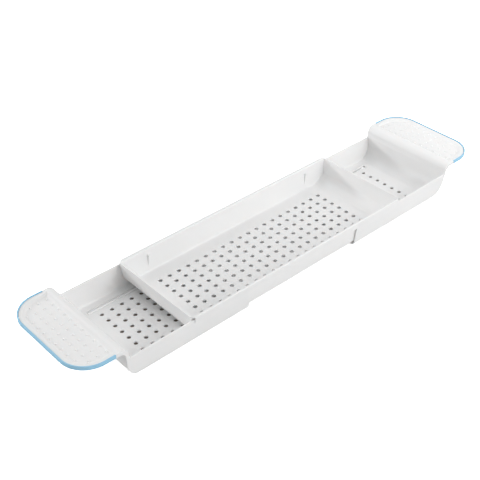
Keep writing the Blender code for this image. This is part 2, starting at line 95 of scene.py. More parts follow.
# %% Sizes of the tray and of the patterns
TRAY_X = -0.00375
TRAY_HALF_LENGTH = 0.1955
TRAY_BOTTOM = 0.0041
TRAY_FLOOR_TOP = 0.0063
TRAY_TOP = 0.0421
TRAY_BASE = 0.0701
TRAY_WALL = 0.0021
TRAY_END_WALL = 0.0025
TRAY_FILLET = 0.0040
TRAY_CORNER_CUT = 0.0015
FLANGE_TAPER = 0.0030
END_SWEEP_LENGTH = 0.0280
END_SWEEP_HEIGHT = 0.0160
END_LEAN = 0.0035
FLANGE_THICKNESS = 0.0020
SKIRT_INNER = ARM_HALF_WIDTH + DRAFT * ARM_HEIGHT + FIT_GAP
SKIRT_THICKNESS = 0.0011
SKIRT_OUTER = SKIRT_INNER + SKIRT_THICKNESS
SKIRT_DEPTH = 0.0090
HOLE_RADIUS = 0.0030
HOLE_PITCH_X = 0.0160
HOLE_PITCH_Y = 0.0145
HOLE_HALF_ROWS = 3
SLOT_Y = 0.0550
SLOT_HALF_WIDTH = 0.0013
FAR_SLOT_Y = 0.0587
FAR_SLOT_HALF_WIDTH = 0.0017
GROOVE_FLOOR = 0.0014
SLOT_START = 0.0100
SLOT_END = 0.1633
RAIL_WIDTH = 0.0024
RAIL_Y = 0.0580
FAR_RAIL_Y = 0.0555
RAIL_TOP = 0.0038
BUMP_PITCH_X = 0.0121
BUMP_PITCH_Y = 0.0124
BUMP_RADIUS = 0.0017
BUMP_HEIGHT = 0.0012
OVERCUT = 0.0050
SINK = 0.0010
print("tray skirt reaches:", round(SKIRT_OUTER, 5))

# %% [markdown]
# ## Outlines
# Almost every surface of a moulding like this is one outline seen from the side crossed
# with another seen from the end. So the modelling starts with flat outlines: arcs, a
# way to round a corner, and the leaning section of a tub.

# %% Points along an arc, and rounded corners
ARC_STEPS = 24
CORNER_STEPS = 5
CORNER_SHARE = 2.2


def arc(centre, radii, start, end, steps=ARC_STEPS):
    """Points along part of an ellipse, from one angle to another in degrees."""
    turns = [math.radians(start + (end - start) * step / steps) for step in range(steps + 1)]
    return [(centre[0] + radii[0] * math.cos(turn), centre[1] + radii[1] * math.sin(turn))
            for turn in turns]


def soften(points):
    """Rounds each corner that carries a reach as its third number."""
    made = []
    for index, point in enumerate(points):
        if len(point) == 2:
            made.append(tuple(point))
            continue
        corner = Vector(point[:2])
        before = Vector(points[index - 1][:2]) - corner
        after = Vector(points[(index + 1) % len(points)][:2]) - corner
        reach = min(point[2], before.length / CORNER_SHARE, after.length / CORNER_SHARE)
        start = corner + before.normalized() * reach
        end = corner + after.normalized() * reach
        for step in range(CORNER_STEPS + 1):
            part = step / CORNER_STEPS
            first = start.lerp(corner, part)
            made.append(tuple(first.lerp(corner.lerp(end, part), part)))
    return made


def mirrored(points):
    """A closed outline from its right half, listed from the bottom to the top."""
    return list(points) + [(-point[0],) + tuple(point[1:]) for point in reversed(points)]


print("an arc of", len(arc((0, 0), (1, 1), 0, 90)), "points")

# %% The leaning walls of a tub, seen from its end


def half_width(base, height):
    """How far a leaning wall stands from the middle at one height."""
    return base + DRAFT * height


def tub_corner(base, bottom, fillet):
    """The rounded bottom edge of a leaning wall, from the floor up to the wall."""
    lean = math.degrees(math.atan(DRAFT))
    up = bottom + fillet
    across = half_width(base, up) - fillet * math.hypot(1.0, DRAFT)
    return arc((across, up), (fillet, fillet), -90, -lean, ARC_STEPS // 2)


def tub_section(base, bottom, top, fillet):
    """A whole tub seen from its end, filled in."""
    return mirrored(tub_corner(base, bottom, fillet) + [(half_width(base, top), top)])


print("tray wall at its rim:", round(half_width(TRAY_BASE, TRAY_TOP), 5))

# %% [markdown]
# ## Slabs, cuts and finished meshes
# A filled 2D curve with an extrusion makes a clean slab from any outline. Slabs cross and
# cut each other with Boolean modifiers, and the evaluated result becomes one mesh. The
# sharp outer edges are then broken with a small bevel, as every moulded edge is, because
# it is the little round on an edge that catches the light.

# %% Slabs from outlines
workshop = bpy.data.collections.new("workshop")
bpy.context.scene.collection.children.link(workshop)
MERGE = 1e-6
FLAT = 0.001
STANDS = {
    "XY": lambda middle: Matrix(((1, 0, 0, 0), (0, 1, 0, 0), (0, 0, 1, middle), (0, 0, 0, 1))),
    "XZ": lambda middle: Matrix(((1, 0, 0, 0), (0, 0, -1, middle), (0, 1, 0, 0), (0, 0, 0, 1))),
    "YZ": lambda middle: Matrix(((0, 0, 1, middle), (1, 0, 0, 0), (0, 1, 0, 0), (0, 0, 0, 1))),
}


def from_bmesh(name, shape):
    """A workshop object from a bmesh, with its faces turned outwards."""
    mesh = bpy.data.meshes.new(name)
    bmesh.ops.recalc_face_normals(shape, faces=shape.faces)
    shape.to_mesh(mesh)
    shape.free()
    made = bpy.data.objects.new(name, mesh)
    workshop.objects.link(made)
    return made


def slab(name, outline, plane, low, high):
    """A flat outline, filled and drawn out across its plane from low to high."""
    curve = bpy.data.curves.new(name, "CURVE")
    curve.dimensions = "2D"
    curve.fill_mode = "BOTH"
    curve.extrude = (high - low) / 2
    spline = curve.splines.new("POLY")
    spline.points.add(len(outline) - 1)
    for point, (first, second) in zip(spline.points, outline):
        point.co = (round(first, 7), round(second, 7), 0.0, 1.0)
    spline.use_cyclic_u = True
    drawn = bpy.data.objects.new(name, curve)
    workshop.objects.link(drawn)
    graph = bpy.context.evaluated_depsgraph_get()
    mesh = bpy.data.meshes.new_from_object(drawn.evaluated_get(graph))
    bpy.data.objects.remove(drawn)
    shape = bmesh.new()
    shape.from_mesh(mesh)
    bmesh.ops.transform(shape, matrix=STANDS[plane]((low + high) / 2), verts=shape.verts)
    bmesh.ops.remove_doubles(shape, verts=shape.verts, dist=MERGE)
    bmesh.ops.dissolve_limit(shape, angle_limit=FLAT, verts=shape.verts, edges=shape.edges)
    return from_bmesh(name, shape)


corner_block = slab("block", [(0, 0), (SHEET, 0), (SHEET, SHEET), (0, SHEET)], "XY", 0, SHEET)
print("a square slab has", len(corner_block.data.polygons), "faces")
bpy.data.objects.remove(corner_block)

# %% Boolean steps and broken edges
EDGE_BREAK = 0.0003
EDGE_STEPS = 2
SHARP_TURN = 35.0
FLAT_TURN = 0.3


def carve(target, *steps):
    """Applies Boolean steps in order, each an operation and its tool."""
    for operation, tool in steps:
        step = target.modifiers.new(tool.name, "BOOLEAN")
        step.operation = operation
        step.object = tool
        step.solver = "MANIFOLD"
    graph = bpy.context.evaluated_depsgraph_get()
    mesh = bpy.data.meshes.new_from_object(target.evaluated_get(graph))
    target.modifiers.clear()
    target.data = mesh
    for _, tool in steps:
        bpy.data.objects.remove(tool)
    return target


def break_edges(target):
    """Bevels each outer edge that turns by more than the sharp angle."""
    shape = bmesh.new()
    shape.from_mesh(target.data)
    bmesh.ops.remove_doubles(shape, verts=shape.verts, dist=2 * MERGE)
    bmesh.ops.dissolve_limit(shape, angle_limit=math.radians(FLAT_TURN), verts=shape.verts,
                             edges=shape.edges)
    chosen = [edge for edge in shape.edges
              if edge.is_convex and edge.calc_face_angle() > math.radians(SHARP_TURN)]
    bmesh.ops.bevel(shape, geom=chosen, offset=EDGE_BREAK, offset_type="OFFSET",
                    segments=EDGE_STEPS, profile=0.5, affect="EDGES", clamp_overlap=False)
    shape.to_mesh(target.data)
    shape.free()
    return len(chosen)


print("edges broken by:", EDGE_BREAK)

# %% [markdown]
# ## Drain holes
# A real drain hole isn't a bare cylinder: the tool that shapes it leaves a rounded rim,
# and that rim is the pale ring round each dark hole. So the drill is a turned shape that
# flares at both faces, spun from its profile, and one copy stands at each place.

# %% A turned drill with flared ends
HOLE_SIDES = 24
RIM_ROUND = 0.0005
RIM_STEPS = 3


def drill_profile(low, high):
    """Half the drill's section, from its bottom centre up to its top centre."""
    widest = HOLE_RADIUS + RIM_ROUND
    flare = []
    for step in range(RIM_STEPS + 1):
        turn = math.radians(90 * step / RIM_STEPS)
        flare.append((HOLE_RADIUS + RIM_ROUND * (1 - math.cos(turn)),
                      RIM_ROUND * (1 - math.sin(turn))))
    foot = [(0.0, low - SINK), (widest, low - SINK)]
    lower = [(out, low + back) for out, back in reversed(flare)]
    upper = [(out, high - back) for out, back in flare]
    return foot + lower + upper + [(widest, high + SINK), (0.0, high + SINK)]


def spun(profile):
    """A closed turned shape round Z."""
    shape = bmesh.new()
    points = [shape.verts.new((out, 0.0, up)) for out, up in profile]
    edges = [shape.edges.new(pair) for pair in zip(points, points[1:])]
    bmesh.ops.spin(shape, geom=points + edges, cent=(0, 0, 0), axis=(0, 0, 1),
                   angle=math.tau, steps=HOLE_SIDES, use_merge=True)
    bmesh.ops.remove_doubles(shape, verts=shape.verts, dist=MERGE)
    mesh = bpy.data.meshes.new("spun")
    bmesh.ops.recalc_face_normals(shape, faces=shape.faces)
    shape.to_mesh(mesh)
    shape.free()
    return mesh


def copies(name, mesh, places):
    """One mesh repeated at each place, as a single tool."""
    shape = bmesh.new()
    for place in places:
        first = len(shape.verts)
        shape.from_mesh(mesh)
        shape.verts.ensure_lookup_table()
        bmesh.ops.translate(shape, verts=shape.verts[first:], vec=Vector(place))
    return from_bmesh(name, shape)


def drills(name, places, low, high):
    """A drill at each place, for a floor between two heights."""
    mesh = spun(drill_profile(low, high))
    return copies(name, mesh, [(along, across, 0.0) for along, across in places])


print("drill profile points:", len(drill_profile(0.0, ARM_FLOOR)))

# %% Places of the drain holes
TRAY_HALF_COLUMNS = 10
ARM_COLUMNS = 9
ARM_HOLE_START = 0.0412


def hole_grid(columns):
    """Places of the holes, row by row in each column."""
    rows = range(-HOLE_HALF_ROWS, HOLE_HALF_ROWS + 1)
    return [(column, row * HOLE_PITCH_Y) for column in columns for row in rows]


tray_hole_places = hole_grid([(column + 0.5) * HOLE_PITCH_X
                              for column in range(-TRAY_HALF_COLUMNS, TRAY_HALF_COLUMNS)])
arm_hole_places = hole_grid([ARM_LENGTH - ARM_HOLE_START - column * HOLE_PITCH_X
                             for column in range(ARM_COLUMNS)])
print("holes:", len(tray_hole_places), "in the tray,", len(arm_hole_places), "in each arm")

# %% [markdown]
# ## The tray
# The tray is a long tub whose ends sweep up from the floor in a wide curve, so that water
# runs back to the holes. Along its long sides a flange and a short skirt reach over the
# arm walls. The outside is crossed from a side view and an end view, and the inside is a
# second crossing that opens out at its top, which rounds the rim.

# %% Outlines of the tray
END_ROUNDING = 0.0009
SIDE_ROUNDING = 0.0026
NEAR_WIDER = 0.0014
FLANGE_ROOT_ROUND = 0.0005
SKIRT_TOP_ROUND = 0.0004
SKIRT_IN_ROUND = 0.0003
SKIRT_OUT_ROUND = 0.0004
FLANGE_ROUND = 0.0011
FLANGE_CUT = 0.0008


def tray_side_outline(inset, bottom, top, rounding=0.0):
    """The tray seen from the side, drawn in by a wall's thickness, its rim rounded."""
    end = TRAY_HALF_LENGTH - inset
    foot = end - END_LEAN
    lean = END_LEAN / (TRAY_TOP - TRAY_BOTTOM - END_SWEEP_HEIGHT)
    sweep = arc((foot - END_SWEEP_LENGTH, bottom + END_SWEEP_HEIGHT),
                (END_SWEEP_LENGTH, END_SWEEP_HEIGHT), -90, 0)
    if not rounding:
        rim = foot + lean * (top - bottom - END_SWEEP_HEIGHT)
        return mirrored(sweep + [(rim, top)])
    rim = foot + lean * (TRAY_TOP - bottom - END_SWEEP_HEIGHT)
    edge = arc((rim + rounding, TRAY_TOP - rounding), (rounding, rounding), 180, 90, 5)
    return mirrored(sweep + edge + [(rim + rounding, top)])


def tray_section_outline():
    """The tray seen from its end, with the flange and skirt over the arm walls."""
    under = TRAY_TOP - FLANGE_THICKNESS
    low = TRAY_TOP - SKIRT_DEPTH
    flange = [(half_width(TRAY_BASE, under), under, FLANGE_ROOT_ROUND),
              (SKIRT_INNER, under, SKIRT_TOP_ROUND), (SKIRT_INNER, low, SKIRT_IN_ROUND),
              (SKIRT_OUTER, low, SKIRT_OUT_ROUND), (SKIRT_OUTER, TRAY_TOP, FLANGE_ROUND)]
    return soften(mirrored(tub_corner(TRAY_BASE, TRAY_BOTTOM, TRAY_FILLET) + flange))


def tray_inside_section(top):
    """The tray's inside seen from its end, with round rims and a wider near side."""
    base = TRAY_BASE - TRAY_WALL
    across = half_width(base, TRAY_TOP)
    edge = arc((across + SIDE_ROUNDING, TRAY_TOP - SIDE_ROUNDING),
               (SIDE_ROUNDING, SIDE_ROUNDING), 180, 90, 8)
    outline = mirrored(tub_corner(base, TRAY_FLOOR_TOP, TRAY_FILLET) + edge
                       + [(across + SIDE_ROUNDING, top)])
    return [(out - NEAR_WIDER if out < 0 else out, up) for out, up in outline]


def tray_plan_outline():
    """The tray from above: cut corners, and the flange's shorter, tapered length."""
    reach = half_width(TRAY_BASE, TRAY_TOP)
    flange_end = TRAY_HALF_LENGTH - TRAY_CORNER_CUT
    wide = SKIRT_OUTER + OVERCUT
    quarter = [(flange_end + OVERCUT, reach - OVERCUT), (flange_end, reach),
               (flange_end - FLANGE_TAPER, SKIRT_OUTER - FLANGE_CUT),
               (flange_end - FLANGE_TAPER, wide)]
    half = quarter + [(-along, across) for along, across in reversed(quarter)]
    return half + [(along, -across) for along, across in reversed(half)]


print("tray outline points:", len(tray_side_outline(0.0, TRAY_BOTTOM, TRAY_TOP)))

# %% Cross the outlines into the tray's tub
above = TRAY_TOP + OVERCUT
wide = SKIRT_OUTER + OVERCUT
past = TRAY_HALF_LENGTH + OVERCUT
tray = slab("tray_moulding", tray_side_outline(0.0, TRAY_BOTTOM, TRAY_TOP), "XZ", -wide, wide)
inside = carve(
    slab("inside", tray_side_outline(TRAY_END_WALL, TRAY_FLOOR_TOP, above, END_ROUNDING),
         "XZ", -wide, wide),
    ("INTERSECT", slab("inside_section", tray_inside_section(above), "YZ", -past, past)))
carve(tray,
      ("INTERSECT", slab("section", tray_section_outline(), "YZ", -past, past)),
      ("INTERSECT", slab("plan", tray_plan_outline(), "XY", -OVERCUT, above)),
      ("DIFFERENCE", inside))
print("tray edges broken:", break_edges(tray))

# %% [markdown]
# ## Wedges, pegs and holes in the tray
# Four slim wedges stand on the long walls. They stop a second tray from jamming when
# trays are nested for shipping. Four pegs under the floor guide the arms: at each end one
# runs in the arm's slot and one in its shallow groove. Small slabs are enough for both.

# %% Add the wedges and pegs, then drill the floor
WEDGE_X = 0.150
WEDGE_DROP = 0.0085
WEDGE_TOP = TRAY_TOP - WEDGE_DROP
WEDGE_DEPTH = 0.0038
WEDGE_HALF_THICKNESS = 0.0011
PEG_X = 0.163
PEG_HALF_LENGTH = 0.003


def wedge(end, side):
    """One upright sliver, deepest near the rim and gone at the floor."""
    wall = TRAY_BASE - TRAY_WALL
    low = TRAY_FLOOR_TOP + TRAY_FILLET
    outline = [(side * half_width(wall + SINK, low), low),
               (side * (half_width(wall, WEDGE_TOP) - WEDGE_DEPTH), WEDGE_TOP),
               (side * half_width(wall + SINK, WEDGE_TOP), WEDGE_TOP)]
    return slab(f"wedge_{end}_{side}", outline, "YZ", end * WEDGE_X - WEDGE_HALF_THICKNESS,
                end * WEDGE_X + WEDGE_HALF_THICKNESS)


def peg(end, side):
    """A round-ended peg that runs in an arm's slot or, on its other side, in its groove."""
    far = end * side < 0
    half = (FAR_SLOT_HALF_WIDTH if far else SLOT_HALF_WIDTH) - FIT_GAP
    across = side * (FAR_SLOT_Y if far else SLOT_Y)
    centre = end * PEG_X
    right = arc((centre + PEG_HALF_LENGTH, across), (half, half), -90, 90, 8)
    left = arc((centre - PEG_HALF_LENGTH, across), (half, half), 90, 270, 8)
    low = GROOVE_FLOOR + FIT_GAP
    return slab(f"peg_{end}_{side}", right + left, "XY", low, TRAY_BOTTOM + SINK)


corners = [(end, side) for end in (-1, 1) for side in (-1, 1)]
carve(tray, *[("UNION", wedge(end, side)) for end, side in corners],
      *[("UNION", peg(end, side)) for end, side in corners])
carve(tray, ("DIFFERENCE", drills("drain", tray_hole_places, TRAY_BOTTOM, TRAY_FLOOR_TOP)))
print("tray faces:", len(tray.data.polygons))

# %% [markdown]
# ## The arms
# An arm is one sheet of plastic: a trough that is open at its inner end, a neck that
# rolls up and over, and a flat handle. Seen from the side it is a single outline with an
# even thickness, and underneath, two lips stiffen the neck and the handle's edge.

# %% Outlines of an arm
HOLLOW_SWEEP_START = -32.0


def arm_side_outline():
    """The arm's outer shape seen from its side, with trough and neck filled in."""
    lip_side = ARM_LENGTH + LIP_REACH
    underside = [(0.0, 0.0)]
    underside += arc((lip_side - LIP_CORNER_RADIUS, LIP_CORNER_RADIUS),
                     (LIP_CORNER_RADIUS, LIP_CORNER_RADIUS), -90, 0)
    lip_radii = (NECK_CENTRE[0] - lip_side - NECK_LEAN, LIP_ARCH_HEIGHT)
    underside += arc((NECK_CENTRE[0], HANDLE_BOTTOM - lip_radii[1]), lip_radii, 180, 90)
    topside = [(CORE_END, HANDLE_BOTTOM), (CORE_END, HANDLE_TOP), (NECK_END, HANDLE_TOP)]
    topside += arc(NECK_CENTRE, (NECK_RADIUS, NECK_RADIUS), 90, 180)
    return underside + topside + [(ARM_LENGTH, ARM_HEIGHT), (0.0, ARM_HEIGHT)]


def trough_outline():
    """The open trough seen from the side, swept up into the neck at its far end."""
    sweep = arc((ARM_LENGTH - END_CORNER_RADIUS, ARM_FLOOR + END_CORNER_RADIUS),
                (END_CORNER_RADIUS, END_CORNER_RADIUS), -90, 0)
    up = RIDGE_TOP + OVERCUT
    return ([(-OVERCUT, ARM_FLOOR)] + sweep
            + [(ARM_LENGTH, ARM_HEIGHT), (ARM_LENGTH - SINK, up), (-OVERCUT, up)])


def hollow_outline():
    """The space under neck and handle seen from the side, between their lips."""
    outer_face = ARM_LENGTH + SHEET
    radius = END_CORNER_RADIUS + SHEET
    sweep = arc((outer_face - radius, radius), (radius, radius), HOLLOW_SWEEP_START, 0)
    roof = arc(NECK_CENTRE, (NECK_RADIUS - SHEET, NECK_RADIUS - SHEET), 180, 90)
    ceiling = FIELD_TOP - SHEET
    low = sweep[0][1] - SINK
    return (sweep + roof + [(NECK_END - SHEET, ceiling), (CORE_END - HANDLE_LIP, ceiling),
                            (CORE_END - HANDLE_LIP, low), (ARM_LENGTH + LIP_REACH, low)])


def handle_outline(near, inset, near_half_width=None):
    """The handle from above, drawn in by an inset, as a closed outline."""
    half = HANDLE_HALF_WIDTH - CORE_INSET - inset
    radius = HANDLE_CORNER_RADIUS - CORE_INSET - inset
    far = CORE_END - inset
    upper = arc((far - radius, half - radius), (radius, radius), 90, 0)
    if near_half_width:
        upper = [(near, near_half_width), (NECK_END, near_half_width), (NECK_END, half)] + upper
    else:
        upper = [(near, half)] + upper
    return upper + [(along, -across) for along, across in reversed(upper)]


print("arm outline points:", len(arm_side_outline()))

# %% [markdown]
# ## Lofts
# A sunk field with a soft slope all round isn't a crossing of two outlines. Its cutter is
# lofted instead: the handle's outline is drawn at several depths, each a little wider
# than the one below it, and faces join each outline to the next.

# %% Lofts between outlines
FIELD_STEPS = 10
FIELD_SHIFT = 0.8
NECK_FALL = 0.0085


def loft(name, loops):
    """A closed solid through closed loops of points that have one count."""
    shape = bmesh.new()
    rings = [[shape.verts.new(point) for point in loop] for loop in loops]
    for lower, upper in zip(rings, rings[1:]):
        for index in range(len(lower)):
            after = (index + 1) % len(lower)
            shape.faces.new((lower[index], lower[after], upper[after], upper[index]))
    shape.faces.new(rings[0])
    shape.faces.new(rings[-1])
    return from_bmesh(name, shape)


def field_cutter():
    """The handle's sunk field: soft shoulders all round, and a long fall from the neck."""
    depth = HANDLE_TOP - FIELD_TOP
    near = NECK_CENTRE[0] - SINK
    loops = []
    for step in range(FIELD_STEPS + 1):
        part = step / FIELD_STEPS
        inset = BORDER_WIDTH + FIELD_SLOPE * (FIELD_SHIFT - part)
        height = FIELD_TOP + depth * (1 - math.cos(math.pi * part)) / 2
        loops.append([(x, y, height) for x, y in handle_outline(near, inset)])
    loops.append([(x, y, RIDGE_TOP + OVERCUT) for x, y, _ in loops[-1]])
    fall = []
    for step in range(2 * FIELD_STEPS + 1):
        part = step / (2 * FIELD_STEPS)
        fall.append((NECK_CENTRE[0] + NECK_FALL * part,
                     FIELD_TOP + (RIDGE_TOP - FIELD_TOP) * (1 + math.cos(math.pi * part)) / 2))
    fall += [(HANDLE_END, FIELD_TOP), (HANDLE_END, RIDGE_TOP + SINK),
             (NECK_CENTRE[0], RIDGE_TOP + SINK)]
    return carve(loft("field", loops),
                 ("INTERSECT", slab("fall", fall, "XZ", -HANDLE_HALF_WIDTH, HANDLE_HALF_WIDTH)))


print("field depth:", round(HANDLE_TOP - FIELD_TOP, 5))

# %% Rails and slots
RAIL_ROUND = 0.0009


def box(name, low, high):
    """A plain block between its lowest and highest corner."""
    shape = bmesh.new()
    size = [top - bottom for bottom, top in zip(low, high)]
    middle = [(top + bottom) / 2 for bottom, top in zip(low, high)]
    place = Matrix.Translation(middle) @ Matrix.Diagonal((*size, 1.0))
    bmesh.ops.create_cube(shape, size=1.0, matrix=place)
    return from_bmesh(name, shape)


def rail(name, middle):
    """A low round-topped rail beside a slot, which carries the tray's floor."""
    low = ARM_FLOOR - SINK
    half = RAIL_WIDTH / 2
    outline = [(middle - half, low), (middle + half, low),
               (middle + half, RAIL_TOP, RAIL_ROUND), (middle - half, RAIL_TOP, RAIL_ROUND)]
    return slab(name, soften(outline), "YZ", SLOT_START, SLOT_END)


def slot(name, middle, half, low):
    """The cutter for a slot, or for a groove where it stops above the underside."""
    return box(name, (SLOT_START, middle - half, low), (SLOT_END, middle + half, OVERCUT))


print("slot length:", round(SLOT_END - SLOT_START, 4))

# %% Dots on the handle
BUMP_COLUMNS = 4
BUMP_HALF_ROWS = 5
BUMP_START = 0.0228
BUMP_MARGIN = 0.00135


def bump_places():
    """Dots on the handle's field that lie inside its rounded corners."""
    end = CORE_END - BORDER_WIDTH
    half = HANDLE_HALF_WIDTH - CORE_INSET - BORDER_WIDTH
    radius = HANDLE_CORNER_RADIUS - CORE_INSET - BORDER_WIDTH
    places = []
    for column in range(BUMP_COLUMNS):
        for row in range(-BUMP_HALF_ROWS, BUMP_HALF_ROWS + 1):
            along = ARM_LENGTH + BUMP_START + column * BUMP_PITCH_X
            across = row * BUMP_PITCH_Y
            past = Vector((max(0.0, along - end + radius), max(0.0, abs(across) - half + radius)))
            if past.length < radius - BUMP_MARGIN:
                places.append((along, across, FIELD_TOP))
    return places


def bumps(name):
    """Shallow domes, sunk a little into the field."""
    shape = bmesh.new()
    bmesh.ops.create_uvsphere(shape, u_segments=16, v_segments=8, radius=1.0)
    bmesh.ops.scale(shape, verts=shape.verts, vec=(BUMP_RADIUS, BUMP_RADIUS, BUMP_HEIGHT))
    mesh = bpy.data.meshes.new("dome")
    shape.to_mesh(mesh)
    shape.free()
    return copies(name, mesh, bump_places())


print("dots on each handle:", len(bump_places()))

# %% [markdown]
# ## Putting an arm together
# The steps follow the shape: the filled outline, the leaning section, the rounded plan,
# then the trough, the hollow under the neck and the sunk field. Edges are broken before
# the small things are added, so that the bevel meets only simple edges. Those are a rail
# with a slot beside it, a rail with a shallow groove beside it, the holes and the dots.

# %% Build one arm in its own frame


def build_arm(name):
    """A whole arm as one mesh, from its filled outline to its dots."""
    far = HANDLE_END + OVERCUT
    across = HANDLE_HALF_WIDTH + OVERCUT
    up = RIDGE_TOP + OVERCUT
    between_walls = tub_section(ARM_HALF_WIDTH - ARM_WALL, ARM_FLOOR, up + OVERCUT,
                                ARM_FILLET - ARM_WALL)
    between_lips = tub_section(ARM_HALF_WIDTH - ARM_WALL, -OVERCUT, up + OVERCUT, ARM_FILLET)
    trough = carve(slab("trough", trough_outline(), "XZ", -across, across),
                   ("INTERSECT", slab("walls", between_walls, "YZ", -2 * OVERCUT, far)))
    lip_plan = handle_outline(-OVERCUT, HANDLE_LIP, across)
    hollow = carve(slab("hollow", hollow_outline(), "XZ", -across, across),
                   ("INTERSECT", slab("lips", between_lips, "YZ", -OVERCUT, far)),
                   ("INTERSECT", slab("lip_plan", lip_plan, "XY", -2 * OVERCUT, up)))
    section = tub_section(ARM_HALF_WIDTH, 0.0, up, ARM_FILLET)
    plan = handle_outline(-OVERCUT, 0.0, across)
    arm = slab(name, arm_side_outline(), "XZ", -across, across)
    carve(arm, ("INTERSECT", slab("section", section, "YZ", -OVERCUT, far)),
          ("INTERSECT", slab("plan", plan, "XY", -OVERCUT, up)),
          ("DIFFERENCE", trough), ("DIFFERENCE", hollow), ("DIFFERENCE", field_cutter()))
    broken = break_edges(arm)
    carve(arm, ("UNION", rail("rail", RAIL_Y)), ("UNION", rail("far_rail", -FAR_RAIL_Y)),
          ("DIFFERENCE", slot("slot", SLOT_Y, SLOT_HALF_WIDTH, -SINK)),
          ("DIFFERENCE", slot("groove", -FAR_SLOT_Y, FAR_SLOT_HALF_WIDTH, GROOVE_FLOOR)),
          ("DIFFERENCE", drills("mouth", [(SLOT_END, SLOT_Y)], 0.0, ARM_FLOOR)),
          ("DIFFERENCE", drills("drain", arm_hole_places, 0.0, ARM_FLOOR)),
          ("UNION", bumps("dots")))
    print(name, "edges broken:", broken, "faces:", len(arm.data.polygons))
    return arm


left_arm = build_arm("left_arm_moulding")
right_arm = build_arm("right_arm_moulding")

# %% [markdown]
# ## The grip strips
# Each strip is one section drawn along the handle's edge. It stands a little proud of the
# handle, and a shallow groove runs round it. A curve with another curve as its bevel
# object makes exactly that, and its caps close the cut ends.

# %% Draw a strip along the handle's edge
GRIP_RISE = 0.0009
GRIP_STEP = 0.0006
GRIP_PATH_STEPS = 48
GRIP_ROUND = 0.0008
GRIP_TOP_INNER_ROUND = 0.0006
GRIP_LOW_INNER_ROUND = 0.0002
GRIP_GROOVE_HALF = 0.0007
GRIP_GROOVE_DEPTH = 0.0006
GRIP_GROOVE_LIP_ROUND = 0.0003
GRIP_GROOVE_ROUND = 0.0004


def line_curve(name, points, dimensions, closed):
    """A curve of straight steps through flat points."""
    curve = bpy.data.curves.new(name, "CURVE")
    curve.dimensions = dimensions
    spline = curve.splines.new("POLY")
    spline.points.add(len(points) - 1)
    for point, (first, second) in zip(spline.points, points):
        point.co = (first, second, 0.0, 1.0)
    spline.use_cyclic_u = closed
    return curve


def grip_path():
    """The middle line of the strip, from one cut end round the handle to the other."""
    inset = GRIP_THICKNESS / 2
    half = HANDLE_HALF_WIDTH - inset
    radius = HANDLE_CORNER_RADIUS - inset
    centre = (HANDLE_END - inset - radius, half - radius)
    upper = [(ARM_LENGTH + HANDLE_START, half)]
    upper += arc(centre, (radius, radius), 90, 0, GRIP_PATH_STEPS)
    return upper + [(along, -across) for along, across in reversed(upper)]


def grip_section():
    """The strip's cut end: soft outer edges with a shallow groove between them."""
    high = (HANDLE_TOP - HANDLE_BOTTOM) / 2 + GRIP_RISE
    low = (HANDLE_BOTTOM - HANDLE_TOP) / 2 + GRIP_STEP
    out = GRIP_THICKNESS / 2
    return soften([(-out, high, GRIP_TOP_INNER_ROUND), (out, high, GRIP_ROUND),
                   (out, GRIP_GROOVE_HALF, GRIP_GROOVE_LIP_ROUND),
                   (out - GRIP_GROOVE_DEPTH, 0.0, GRIP_GROOVE_ROUND),
                   (out, -GRIP_GROOVE_HALF, GRIP_GROOVE_LIP_ROUND),
                   (out, low, GRIP_ROUND), (-out, low, GRIP_LOW_INNER_ROUND)])


def build_grip(name):
    """The strip as one mesh: its section carried along its path, with both ends closed."""
    section = bpy.data.objects.new(name + "_section",
                                   line_curve(name + "_section", grip_section(), "2D", True))
    workshop.objects.link(section)
    path = line_curve(name, grip_path(), "3D", False)
    path.twist_mode = "Z_UP"
    path.bevel_mode = "OBJECT"
    path.bevel_object = section
    path.use_fill_caps = True
    drawn = bpy.data.objects.new(name, path)
    workshop.objects.link(drawn)
    graph = bpy.context.evaluated_depsgraph_get()
    mesh = bpy.data.meshes.new_from_object(drawn.evaluated_get(graph))
    bpy.data.objects.remove(drawn)
    bpy.data.objects.remove(section)
    shape = bmesh.new()
    shape.from_mesh(mesh)
    bmesh.ops.remove_doubles(shape, verts=shape.verts, dist=MERGE)
    bmesh.ops.translate(shape, verts=shape.verts,
                        vec=(0.0, 0.0, (HANDLE_TOP + HANDLE_BOTTOM) / 2))
    return from_bmesh(name, shape)


left_grip = build_grip("left_grip_strip")
right_grip = build_grip("right_grip_strip")
print("strip faces:", len(left_grip.data.polygons))

# %% [markdown]
# ## Materials
# The white is a satin moulded plastic. Its colour drifts by a hair from place to place,
# its gloss varies a little more, and the mould's fine spark texture shows as a bump of a
# few hundredths of a millimetre. Light also passes a little way into the thin white walls,
# which subsurface scattering gives. The blue is a softer plastic with the same drift and
# texture at its own values, so each effect is a node group that both materials use.

# %% Node groups for drift and for fine texture


def new_group(name, inputs, outputs):
    """An empty node group with named sockets, and its two end nodes."""
    group = bpy.data.node_groups.new(name, "ShaderNodeTree")
    for label, kind, value in inputs:
        socket = group.interface.new_socket(name=label, in_out="INPUT", socket_type=kind)
        socket.default_value = value
    for label, kind in outputs:
        group.interface.new_socket(name=label, in_out="OUTPUT", socket_type=kind)
    return group, group.nodes.new("NodeGroupInput"), group.nodes.new("NodeGroupOutput")


def noise(group, scale, detail):
    """A noise texture in the piece's own coordinates, with its scale from a socket."""
    coordinates = group.nodes.new("ShaderNodeTexCoord")
    texture = group.nodes.new("ShaderNodeTexNoise")
    texture.inputs["Detail"].default_value = detail
    group.links.new(coordinates.outputs["Object"], texture.inputs["Vector"])
    group.links.new(scale, texture.inputs["Scale"])
    return texture


